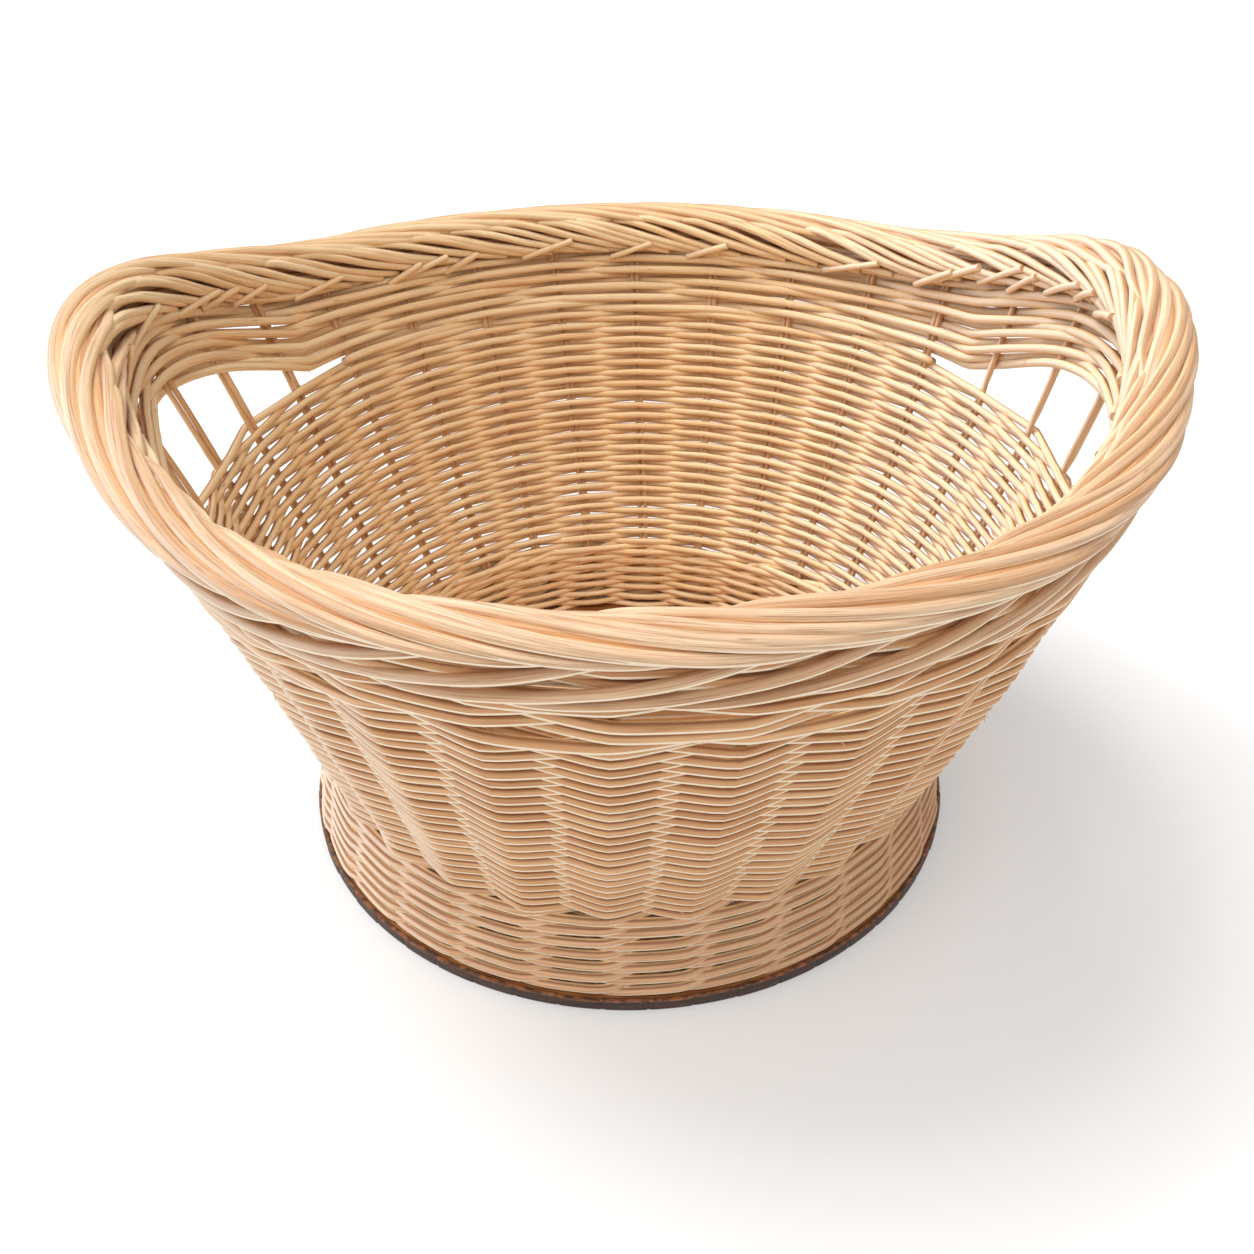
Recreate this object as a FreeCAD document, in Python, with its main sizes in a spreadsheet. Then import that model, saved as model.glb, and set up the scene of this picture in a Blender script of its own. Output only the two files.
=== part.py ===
import FreeCAD, Part
import math
import os

# Round woven basket with a raised grip at each end. Millimetres.
# Origin: centre of the underside. +Z is up, the two hand openings face +X and -X.

V = FreeCAD.Vector
doc = FreeCAD.newDocument("basket")

# ---------------------------------------------------------------- sizes
sheet = doc.addObject("Spreadsheet::Sheet", "sizes")
SIZES = [
    ("base_dia", 330.0),          # over the dark edge band
    ("band_thick", 2.5),          # edge band, radially
    ("board_height", 6.0),
    ("pair_count", 28),           # pairs of upright stakes
    ("stake_dia", 2.7),
    ("stake_step", 2.6),          # between the two rods of a pair
    ("slot_gap", 0.15),           # room on every side of a stake pair
    ("socket_depth", 4.5),        # stakes stand this deep in the board
    ("stake_inset", 15.0),        # from the board's edge in to the middle of the stakes
    ("stake_lean", 8.4),          # degrees off the radial, seen from above, in the flare
    ("foot_lip", 3.5),            # the board stands out this far under the foot
    ("foot_top", 48.0),           # where the wall starts to flare
    ("foot_rounds", 7),           # rounds of stout rods in the foot
    ("round_dip", 0.9),           # depth of the groove between two rounds
    ("weaver_dia", 3.6),          # rods of the side weave
    ("wale_dia", 4.4),            # stouter rods of the foot
    ("rim_radius", 216.0),        # to the middle of the border at front and back
    ("rim_height", 228.0),        # middle of the border at front and back
    ("ear_radius", 220.5),        # to the middle of the border over the openings
    ("ear_height", 262.0),        # middle of the border over the openings
    ("ear_power", 7.0),           # how quickly the rim climbs to an ear
    ("belly", 2.6),               # how far the flare bows out half way up
    ("belly_swing", 4.6),         # more bow on the +X side and less on the -X side
    ("border_width", 22.0),
    ("border_height", 16.0),
    ("border_lay", 0.9),          # height of the slanting ridges round the border
    ("sill_height", 179.0),       # lower edge of the hand openings
    ("left_centre", 179.0),       # degrees round from +X
    ("left_half", 40.0),
    ("left_rise", 45.0),
    ("right_centre", 354.0),
    ("right_half", 38.0),
    ("right_rise", 45.0),
    ("arch_power", 1.4),          # lower makes the openings rounder, higher more pointed
    ("plait_height", 18.0),
    ("plait_thick", 5.5),
    ("shoulder_height", 8.6),     # two stout rods under the border
    ("shoulder_thick", 5.4),
    ("skin_gap", 0.25),           # between the wall and what lies on it
]
for row, (word, value) in enumerate(SIZES, start=1):
    sheet.set("A%d" % row, word)
    sheet.set("B%d" % row, str(value))
    sheet.setAlias("B%d" % row, word)
doc.recompute()


def size(word):
    return float(sheet.get(word))


FULL_TURN = 360.0
PAIRS = int(size("pair_count"))
STEP = FULL_TURN / PAIRS
ROD_FLATS = 8
FLARE_COUNT = 3                   # straight runs that make up the bowed flare
FOOT_RADIUS = size("base_dia") / 2 - size("stake_inset")


# ---------------------------------------------------------------- outline of the basket
def climb(angle):
    """0 at front and back, 1 at the top of each ear; the angle is in degrees."""
    return abs(math.cos(math.radians(angle))) ** size("ear_power")


def rim_level(angle):
    """Height of the middle of the border."""
    return size("rim_height") + (size("ear_height") - size("rim_height")) * climb(angle)


def rim_reach(angle):
    """Radius of the middle of the border."""
    return size("rim_radius") + (size("ear_radius") - size("rim_radius")) * climb(angle)


def wall_top(angle):
    return rim_level(angle) - size("border_height") / 2


def wall_radius(angle, height):
    """Radius of the stakes: upright in the foot, then out to the border in a slight bow."""
    rise = max(0.0, height - size("foot_top"))
    share = rise / (rim_level(angle) - size("foot_top"))
    bow = size("belly") + size("belly_swing") * math.cos(math.radians(angle))
    straight = FOOT_RADIUS + (rim_reach(angle) - FOOT_RADIUS) * share
    return straight + 4 * bow * share * (1 - share)


def lean(radius):
    """Degrees a stake has turned from its foot where it reaches a radius. Seen from
    above it runs straight out, but to one side of the radial."""
    off = math.radians(size("stake_lean"))
    return math.degrees(off - math.asin(FOOT_RADIUS * math.sin(off) / radius))


def meet(angle, edge):
    """Where the stake line that starts at an angle reaches the height edge(angle)."""
    turned = angle
    for _ in range(4):
        turned = angle + lean(wall_radius(turned, edge(turned)))
    return turned


def flat_level(height):
    return lambda angle: height


def spans(low, high, runs):
    """Heights that part a stretch of the flare into equal runs."""
    return [low + (high - low) * step / runs for step in range(runs + 1)]


def polar(radius, angle, height):
    turn = math.radians(angle)
    return V(radius * math.cos(turn), radius * math.sin(turn), height)


def pair_angle(index):
    return (index + 0.5) * STEP


def ring_angles():
    """Every stake pair and every middle between two pairs."""
    return [index * STEP / 2 for index in range(2 * PAIRS)]


def on_pair(index):
    return index % 2 == 1


# ---------------------------------------------------------------- solids from flat facets
def facet_ring(sections, level):
    """A closed ring through equal cross-sections, each a list of points in order.
    It is drawn from its own level up, ready for a Placement at that level."""
    drop = V(0, 0, -level)
    sections = [[point + drop for point in section] for section in sections]
    faces = []
    count = len(sections)
    sides = len(sections[0])
    for here in range(count):
        after = (here + 1) % count
        for side in range(sides):
            nxt = (side + 1) % sides
            a = sections[here][side]
            b = sections[after][side]
            c = sections[after][nxt]
            d = sections[here][nxt]
            faces.append(Part.Face(Part.makePolygon([a, b, d, a])))
            faces.append(Part.Face(Part.makePolygon([b, c, d, b])))
    solid = Part.makeSolid(Part.makeShell(faces))
    if solid.Volume < 0:
        solid.reverse()
    return solid


def weave_ring(lower, upper, runs, half_on_pair, half_between, level):
    """The woven wall from lower(angle) to upper(angle): thick over the stakes and
    thinner where the rods cross between them, so that it is fluted up and down."""
    sections = []
    for index, angle in enumerate(ring_angles()):
        half = half_on_pair if on_pair(index) else half_between
        outside = []
        inside = []
        for height in spans(lower(meet(angle, lower)), upper(meet(angle, upper)), runs):
            turned = meet(angle, flat_level(height))
            outside.append(polar(wall_radius(turned, height) + half, turned, height))
            inside.append(polar(wall_radius(turned, height) - half, turned, height))
        sections.append(inside[:1] + outside + inside[:0:-1])
    return facet_ring(sections, level)


def skin_ring(section, edge, level):
    """A ring whose cross-section is given as (radius, height) pairs at each stake line,
    where that line reaches an edge of the wall."""
    sections = []
    for index, angle in enumerate(ring_angles()):
        turned = meet(angle, edge)
        corners = section(index, turned)
        sections.append([polar(radius, turned, height) for radius, height in corners])
    return facet_ring(sections, level)


# ---------------------------------------------------------------- stakes and their slots
def stake_route(angle, start, end):
    """Up through the foot, then out along the flare: in an upright plane that stands on
    the foot and is turned a little off the radial."""
    route = [V(FOOT_RADIUS, 0, start)]
    for height in spans(size("foot_top"), end, FLARE_COUNT):
        turned = meet(angle, flat_level(height))
        route.append(polar(wall_radius(turned, height), turned - angle, height))
    return Part.makePolygon(route)


def pair_outline(height):
    """Two rods side by side, grown together where they touch. Each is drawn with
    ROD_FLATS flats instead of a circle, which keeps the many stakes light."""
    half_turn = math.pi / ROD_FLATS
    reach = size("stake_dia") / 2 / math.cos(half_turn)
    shift = size("stake_step") / 2
    waist = reach * math.sin(half_turn)
    middle = FOOT_RADIUS
    points = []
    for side in (1, -1):
        for corner in range(ROD_FLATS - 2):
            turn = side * math.pi / 2 - math.pi / 2 + (2 * corner - 1) * half_turn
            points.append(V(middle + reach * math.cos(turn), side * shift + reach * math.sin(turn), height))
        points.append(V(middle - side * waist, 0, height))
    return Part.makePolygon(points + points[:1])


def slot_outline(height):
    half_deep = size("stake_dia") / 2 + size("slot_gap")
    half_wide = (size("stake_step") + size("stake_dia")) / 2 + size("slot_gap")
    middle = FOOT_RADIUS
    corners = [V(middle - half_deep, -half_wide, height), V(middle + half_deep, -half_wide, height),
               V(middle + half_deep, half_wide, height), V(middle - half_deep, half_wide, height)]
    return Part.makePolygon(corners + corners[:1])


def sweep(route, outline):
    pipe = Part.BRepOffsetAPI.MakePipeShell(route)
    pipe.setTransitionMode(1)
    pipe.add(outline)
    pipe.build()
    pipe.makeSolid()
    return pipe.shape()


STAKE_FOOT = size("board_height") - size("socket_depth")


def stake_tip(angle):
    return rim_level(meet(angle, rim_level)) - size("stake_dia")


def stake_solid(angle):
    return sweep(stake_route(angle, STAKE_FOOT, stake_tip(angle)), pair_outline(STAKE_FOOT))


def slot_solid(angle):
    end = stake_tip(angle) + size("slot_gap")
    slot = sweep(stake_route(angle, STAKE_FOOT, end), slot_outline(STAKE_FOOT))
    slot.rotate(V(0, 0, 0), V(0, 0, 1), angle)
    return slot


SLOTS = Part.makeCompound([slot_solid(pair_angle(index)) for index in range(PAIRS)])


def cut_slots(solid, level):
    """Takes the stake channels out of a ring that is drawn from its own level up."""
    slots = SLOTS.copy()
    slots.translate(V(0, 0, -level))
    return solid.cut(slots)


# ---------------------------------------------------------------- writing objects
built = []


def keep(label, shape, level=0.0, turn=0.0):
    """Stores a computed solid and places it: up to its level and round to its angle."""
    item = doc.addObject("Part::Feature", label)
    item.Shape = shape
    item.Placement = FreeCAD.Placement(V(0, 0, level), FreeCAD.Rotation(V(0, 0, 1), turn))
    item.Label = label
    built.append(item)
    return item


def cylinder(name, radius, height):
    item = doc.addObject("Part::Cylinder", name)
    item.setExpression("Radius", radius)
    item.setExpression("Height", height)
    return item


# ---------------------------------------------------------------- board and edge band
board_blank = cylinder("board_blank", "sizes.base_dia / 2 - sizes.band_thick", "sizes.board_height")
sockets = doc.addObject("Part::Feature", "board_sockets")
sockets.Shape = SLOTS.copy()
base_board = doc.addObject("Part::Cut", "base_board")
base_board.Base = board_blank
base_board.Tool = sockets
base_board.Label = "base_board"
built.append(base_board)

band_outside = cylinder("band_outside", "sizes.base_dia / 2", "sizes.board_height")
band_inside = cylinder("band_inside", "sizes.base_dia / 2 - sizes.band_thick", "sizes.board_height")
edge_band = doc.addObject("Part::Cut", "edge_band")
edge_band.Base = band_outside
edge_band.Tool = band_inside
edge_band.Label = "edge_band"
built.append(edge_band)

# ---------------------------------------------------------------- stakes
for index in range(PAIRS):
    angle = pair_angle(index)
    keep("stake_pair_%02d" % (index + 1), stake_solid(angle), 0.0, angle)

# ---------------------------------------------------------------- woven walls
STAKE_HALF = size("stake_dia") / 2


def woven(label, lower, upper, runs, level):
    """A woven ring with a channel for every stake pair that runs through it."""
    rod = size("weaver_dia")
    solid = weave_ring(lower, upper, runs, STAKE_HALF + rod, rod, level)
    return keep(label, cut_slots(solid, level), level)


def turn_between(angle, centre):
    """Signed angle from centre to angle, within half a turn either way."""
    return (angle - centre + FULL_TURN / 2) % FULL_TURN - FULL_TURN / 2


def arch(angle, side):
    """Height of a hand opening over its sill: a bell, gone at both ends."""
    share = turn_between(angle, size(side + "_centre")) / size(side + "_half")
    if abs(share) >= 1:
        return 0.0
    return size(side + "_rise") * math.cos(math.pi / 2 * share) ** size("arch_power")


def over_openings(angle):
    """Lower edge of the upper weave: the sill, or the top of a hand opening."""
    return size("sill_height") + arch(angle, "left") + arch(angle, "right")


def foot_section(index, angle):
    """Flat inside and ridged outside: one ridge for each round of rods, spreading a
    little down to the board."""
    half = size("wale_dia") + (STAKE_HALF if on_pair(index) else 0.0)
    low = size("board_height")
    high = size("foot_top")
    low_reach = size("base_dia") / 2 - size("foot_lip")
    high_reach = FOOT_RADIUS + STAKE_HALF + size("wale_dia")
    halves = 2 * int(size("foot_rounds"))
    corners = [(FOOT_RADIUS - half, low)]
    for step in range(halves + 1):
        share = step / halves
        dip = 0.0 if step % 2 else size("round_dip")
        corners.append((low_reach + (high_reach - low_reach) * share - dip, low + (high - low) * share))
    return corners + [(FOOT_RADIUS - half, high)]


foot = skin_ring(foot_section, flat_level(size("board_height")), size("board_height"))
keep("foot_wale", cut_slots(foot, size("board_height")), size("board_height"))
woven("lower_siding", flat_level(size("foot_top")), flat_level(size("sill_height")),
      FLARE_COUNT, size("foot_top"))
woven("upper_siding", over_openings, wall_top, 1, size("sill_height"))


# ---------------------------------------------------------------- border and its trims
def weave_half(index):
    return size("weaver_dia") + (STAKE_HALF if on_pair(index) else 0.0)


BORDER_CORNERS = 8
BORDER_START = -math.pi / 8       # below the middle of the roll, on the outside


def border_section(index, angle):
    """A roll that is flat where it sits on the wall. Every second corner is a ridge and
    the next is a groove, and they change places at every step round the rim, so that
    the ridges run on the slant like the rods of a rolled border."""
    middle = rim_reach(angle)
    level = rim_level(angle)
    seat = wall_radius(angle, wall_top(angle))
    half_high = size("border_height") / 2
    half = weave_half(index)
    corners = [(seat - half, level - half_high), (seat + half, level - half_high)]
    for corner in range(BORDER_CORNERS):
        turn = BORDER_START + corner * (math.pi - 2 * BORDER_START) / (BORDER_CORNERS - 1)
        groove = size("border_lay") * ((index + corner) % 2)
        half_wide = size("border_width") / 2 - groove
        high = half_high - groove
        corners.append((middle + half_wide * math.cos(turn), level + high * math.sin(turn)))
    return corners


RIM = size("rim_height")
keep("border", cut_slots(skin_ring(border_section, wall_top, RIM), RIM), RIM)


def trim_section(side, drop, thick):
    """A band lying on one face of the wall, right under the border."""
    def section(index, angle):
        high = wall_top(angle)
        low = high - drop
        offset = weave_half(index) + size("skin_gap")
        high_radius = wall_radius(angle, high) + side * offset
        low_radius = wall_radius(angle, low) + side * offset
        corners = [
            (low_radius, low),
            (low_radius + side * thick, low + thick / 2),
            (high_radius + side * thick, high - thick / 2),
            (high_radius, high),
        ]
        return corners if side > 0 else corners[::-1]
    return section


inside = trim_section(-1, size("plait_height"), size("plait_thick"))
keep("inner_plait", skin_ring(inside, wall_top, RIM), RIM)
outside = trim_section(1, size("shoulder_height"), size("shoulder_thick"))
keep("shoulder_wale", skin_ring(outside, wall_top, RIM), RIM)

# ---------------------------------------------------------------- check and write
doc.recompute()
for item in doc.Objects:
    for state in item.State:
        if state in ("Invalid", "Error"):
            raise RuntimeError("%s is %s" % (item.Label, state))
    if hasattr(item, "Shape"):
        if item.Shape.isNull() or not item.Shape.isValid():
            raise RuntimeError("%s has no valid shape" % item.Label)

os.makedirs("parts", exist_ok=True)
for item in built:
    solids = len(item.Shape.Solids)
    if solids != 1:
        raise RuntimeError("%s has %d solids" % (item.Label, solids))
    item.Shape.exportStep("parts/%s.step" % item.Label)
print("wrote %d sub-parts" % len(built))
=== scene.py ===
# %% [markdown]
# # A round woven basket with two raised hand grips
#
# The basket is made the way a basket maker makes it: a banded board, pairs of stakes set
# into the board's edge, a foot of three-rod waling, a wall of plain randing, a looser band
# under the rim with an open grip at each side, and a rolled border made of the stake ends.
# Every rod is its own tube of cane that really passes in front of and behind the stakes.
# A texture of a weave would be quicker, but it has no gaps to see through and no edge
# against the light, so here the weave is geometry and only the grain is a material.

import math

import bpy
import numpy as np
from mathutils import Matrix, Vector


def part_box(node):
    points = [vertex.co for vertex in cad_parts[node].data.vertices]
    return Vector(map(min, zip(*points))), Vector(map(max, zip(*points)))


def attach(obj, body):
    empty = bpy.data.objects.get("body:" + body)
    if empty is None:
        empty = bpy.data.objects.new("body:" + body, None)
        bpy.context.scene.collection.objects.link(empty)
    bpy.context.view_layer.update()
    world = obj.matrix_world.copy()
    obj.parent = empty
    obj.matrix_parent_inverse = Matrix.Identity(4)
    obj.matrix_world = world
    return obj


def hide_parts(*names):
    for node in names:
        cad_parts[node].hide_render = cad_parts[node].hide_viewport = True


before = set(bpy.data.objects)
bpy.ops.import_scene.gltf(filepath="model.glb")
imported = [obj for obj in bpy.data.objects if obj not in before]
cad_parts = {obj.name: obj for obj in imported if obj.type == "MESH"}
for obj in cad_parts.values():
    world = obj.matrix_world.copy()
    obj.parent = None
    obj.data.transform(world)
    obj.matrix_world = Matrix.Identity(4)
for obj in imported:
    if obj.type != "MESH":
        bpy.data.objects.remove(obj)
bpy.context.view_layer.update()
MM = 0.001

# %% [markdown]
# ## The driving sizes
#
# The frame already holds the size of every part, so the board, foot, sill and rim are read
# from it. Only what a solid can't show is given here, such as how thick one rod is.
# Places round the basket are counted in turns of one stake: stake 0 stands at turn 0,
# stake 1 at turn 1. That keeps the weave's rhythm simple, as it is for the maker's hands.

# %% Sizes from the frame, and rod sizes
STAKES = sum(name.startswith("stake_pair_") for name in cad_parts)
STEP = 2 * math.pi / STAKES

BOARD_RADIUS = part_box("edge_band")[1].x
BOARD_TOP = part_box("base_board")[1].z
FOOT_RADIUS = BOARD_RADIUS - 15 * MM
FOOT_SPREAD = BOARD_RADIUS - 1.4 * MM
FOOT_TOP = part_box("foot_wale")[1].z
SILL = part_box("lower_siding")[1].z

BORDER_WIDTH = 22 * MM
BORDER_HEIGHT = 16 * MM
border_low, border_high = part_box("border")
RIM_RADIUS = border_high.y - 0.923 * BORDER_WIDTH / 2
EAR_RADIUS = border_high.x - 0.923 * BORDER_WIDTH / 2
RIM_LEVEL = border_low.z + BORDER_HEIGHT / 2
EAR_LEVEL = border_high.z - 0.961 * BORDER_HEIGHT / 2
EAR_POWER = 7.0
BELLY = 2.6 * MM
BELLY_SWING = 4.6 * MM
STAKE_LEAN = math.radians(8.4)
FRONT_LIFT = 3.4 * MM
FRONT_TUCK = 4.2 * MM

STAKE_THICK = 2.75 * MM
WEAVER_THICK = 3.85 * MM
WALE_THICK = 4.25 * MM
BORDER_THICK = 4.2 * MM
print(f"{STAKES} pairs of stakes, foot to {FOOT_TOP / MM:.0f} mm, sill {SILL / MM:.0f} mm, "
      f"rim {RIM_LEVEL / MM:.0f} to {EAR_LEVEL / MM:.0f} mm")

# %% [markdown]
# ## The form that the rods are woven on
#
# A wicker wall is a surface of revolution with a rim that rises to two ears. One function
# gives its radius, and a second one puts a rod on it: how far round, how high, and how far
# it stands proud. Rods between two stakes run straight, so seen from above the wall is a
# many-sided figure, which is what draws the upright flutes down a wicker basket. The pull
# of the weaving has also drawn every stake a little to one side on its way up, so a turn
# here means a stake's own line, and `swerve` says how far that line has gone round.

# %% The wall's form
def swerve(radius):
    """Turns that a stake has gone round by the time it has leaned out to a radius."""
    inner = FOOT_RADIUS * math.sin(STAKE_LEAN) / np.maximum(radius, FOOT_RADIUS)
    return (STAKE_LEAN - np.arcsin(inner)) / STEP


RIM_SWERVE = float(swerve(RIM_RADIUS))


def climb(turn):
    """0 at front and back, 1 at the top of each ear."""
    return np.abs(np.cos((turn + 0.5 + RIM_SWERVE) * STEP)) ** EAR_POWER


def front(turn):
    """1 at the middle of the front and 0 from the ears back."""
    return np.clip(-np.sin((turn + 0.5 + RIM_SWERVE) * STEP), 0, 1)


def rim_level(turn):
    """Height of the border's centre, which rises to an ear at each side."""
    return RIM_LEVEL + (EAR_LEVEL - RIM_LEVEL) * climb(turn) + FRONT_LIFT * front(turn)


def rim_reach(turn):
    """Radius of the border's centre: more at the ears, less where the front is pulled in."""
    return RIM_RADIUS + (EAR_RADIUS - RIM_RADIUS) * climb(turn) - FRONT_TUCK * front(turn)


def wall_radius(turn, level):
    """Radius of the stakes: upright in the foot, then out in a slight bow to the border."""
    share = np.clip((level - FOOT_TOP) / (rim_level(turn) - FOOT_TOP), 0, None)
    bow = BELLY + BELLY_SWING * np.cos((turn + 0.5 + RIM_SWERVE) * STEP)
    straight = FOOT_RADIUS + (rim_reach(turn) - FOOT_RADIUS) * share
    return straight + 4 * bow * share * (1 - share)


def flare(turn, level):
    """The wall's slope from upright, eased in over the top of the foot."""
    rise = 4 * MM
    run = wall_radius(turn, level + rise) - wall_radius(turn, level - rise)
    return np.arctan2(run, 2 * rise)


def on_wall(turn, level, proud, straight=1.0):
    """Points on the stakes' surface, moved out by proud; straight runs between stakes."""
    between = turn - np.floor(turn) - 0.5
    chord = math.cos(STEP / 2) / np.cos(between * STEP)
    stake_radius = wall_radius(turn, level)
    slope = flare(turn, level)
    radius = stake_radius * (1 + straight * (chord - 1)) + proud * np.cos(slope)
    angle = (turn + 0.5 + swerve(stake_radius)) * STEP
    height = level - proud * np.sin(slope)
    return np.stack([radius * np.cos(angle), radius * np.sin(angle), height], axis=-1)


# %% [markdown]
# ## One rod of cane
#
# Everything woven is a rod, so one helper makes them all. It could be a curve with a round
# bevel, but a mesh tube can be a little oval, uneven and cut off square at its ends. Each
# point keeps two attributes for the material: `fibre` is where the point would be if the
# rod were laid out straight, so the grain follows every bend, and `tone` is how dark that
# one stick of cane is. All the chance in the basket comes from one seeded generator, so it
# is woven the same way each time.

# %% Laying one rod
SIDES = 10
dice = np.random.default_rng(28)


def along(path, closed):
    """Directions and the length run so far, for each point of a path."""
    if closed:
        forward = np.roll(path, -1, axis=0) - np.roll(path, 1, axis=0)
    else:
        forward = np.gradient(path, axis=0)
    steps = np.linalg.norm(np.diff(path, axis=0), axis=1)
    run = np.concatenate([[0], np.cumsum(steps)])
    return forward / np.linalg.norm(forward, axis=1, keepdims=True), run


def uneven(count, swing, grain=9):
    """A slow random ripple round 1, as cane varies in thickness along its length."""
    knots = dice.normal(0, swing, count // grain + 3)
    return 1 + np.interp(np.arange(count) / grain, np.arange(len(knots)), knots)


class Bundle:
    """Rods that are gathered into one mesh."""

    def __init__(self):
        self.points, self.faces, self.flat = [], [], []
        self.fibre, self.tone = [], []
        self.count = 0

    def lay(self, path, thick, closed=False, tips=(1.0, 1.0)):
        """Adds one rod along path. tips says how thin its two ends are."""
        count = len(path)
        forward, run = along(path, closed)
        side = np.cross(forward, path * (1, 1, 0))
        side /= np.linalg.norm(side, axis=1, keepdims=True)
        face = np.cross(side, forward)
        radius = thick / 2 * uneven(count, 0.04)
        if closed:
            blend = np.clip(np.arange(count) / 20, 0, 1)
            radius = radius * blend + np.roll(radius, 20) * (1 - blend)
        else:
            reach = np.arange(count) / 3
            radius *= np.clip(tips[0] + (1 - tips[0]) * reach, 0, 1)
            radius *= np.clip(tips[1] + (1 - tips[1]) * reach[::-1], 0, 1)
        turn = np.arange(SIDES) / SIDES * 2 * np.pi
        across = (np.cos(turn) * radius[:, None])[..., None]
        upright = (np.sin(turn) * radius[:, None])[..., None]
        ring = path[:, None, :] + across * face[:, None, :] + upright * side[:, None, :]
        start = dice.uniform(0, 50)
        far = np.broadcast_to((run + start)[:, None, None], across.shape)
        fibre = np.concatenate([far, across, upright], axis=2)
        self.join(ring.reshape(-1, 3), fibre.reshape(-1, 3), closed, count)
        if not closed:
            self.cap(path[0], 0, start)
            self.cap(path[-1], count - 1, start + run[-1])

    def join(self, ring, fibre, closed, count):
        """Adds the surface of one rod, as rings of quads."""
        self.base = self.count
        rows = np.arange(count if closed else count - 1)[:, None]
        cols = np.arange(SIDES)[None, :]
        ahead = (rows + 1) % count
        beside = (cols + 1) % SIDES
        quads = np.stack([rows * SIDES + cols, rows * SIDES + beside,
                          ahead * SIDES + beside, ahead * SIDES + cols], axis=-1)
        self.points.append(ring)
        self.fibre.append(fibre)
        self.faces += (quads.reshape(-1, 4) + self.base).tolist()
        self.flat += [False] * quads.shape[0] * SIDES
        self.shade = dice.uniform(0, 1)
        self.tone.append(np.full(len(ring), self.shade))
        self.count += len(ring)

    def cap(self, middle, row, far):
        """Closes a rod's end with a square cut."""
        hub = self.count
        self.points.append(np.array([middle]))
        self.fibre.append(np.array([[far, 0, 0]]))
        self.tone.append(np.array([self.shade]))
        self.count += 1
        for col in range(SIDES):
            one = self.base + row * SIDES + col
            two = self.base + row * SIDES + (col + 1) % SIDES
            self.faces.append([hub, two, one] if row == 0 else [hub, one, two])
            self.flat.append(True)

    def piece(self, name, material, slot, *nodes):
        """Makes the mesh, gives it its finish and hides the CAD solids it stands for."""
        mesh = bpy.data.meshes.new(name)
        mesh.from_pydata(np.concatenate(self.points).tolist(), [], self.faces)
        mesh.polygons.foreach_set("use_smooth", [not flat for flat in self.flat])
        fibre = mesh.attributes.new("fibre", "FLOAT_VECTOR", "POINT")
        fibre.data.foreach_set("vector", np.concatenate(self.fibre).ravel())
        tone = mesh.attributes.new("tone", "FLOAT", "POINT")
        tone.data.foreach_set("value", np.concatenate(self.tone))
        finish_piece(name, mesh, material, slot, *nodes)


def finish_piece(name, mesh, material, slot, *nodes):
    """Puts a mesh in the scene as a piece of the basket and hides the solids it stands for."""
    mesh.materials.append(material)
    mesh.update()
    thing = bpy.data.objects.new(name, mesh)
    bpy.context.scene.collection.objects.link(thing)
    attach(thing, "root")
    if nodes:
        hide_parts(*nodes)
    print(f"{name}: {len(mesh.polygons)} faces")


# %% [markdown]
# ## The finish of peeled cane
#
# Peeled cane is pale and slightly silky, with long fibres, faint stains and a few brown
# specks. An image of wood would smear round the bends, so the pattern is made from noise
# that is stretched along the `fibre` attribute. Light and shade are also painted into the
# colour, by which way the surface faces. Inside, the cane's colour is made warmer by painted
# warm light bounced round the basket; outside it is paler. On the outside each rod's top,
# tucked under the row above, and its underside get painted shade, and its lower edge a thin
# pale line of painted light bounced up from the floor. Surfaces facing left are painted
# paler, as lit by the lamp on that side.

# %% The cane material
def rgb(red, green, blue):
    """A colour as seen on screen, 0 to 255, as the shader wants it."""
    linear = [((c / 255 + 0.055) / 1.055) ** 2.4 for c in (red, green, blue)]
    return (*linear, 1.0)


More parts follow.
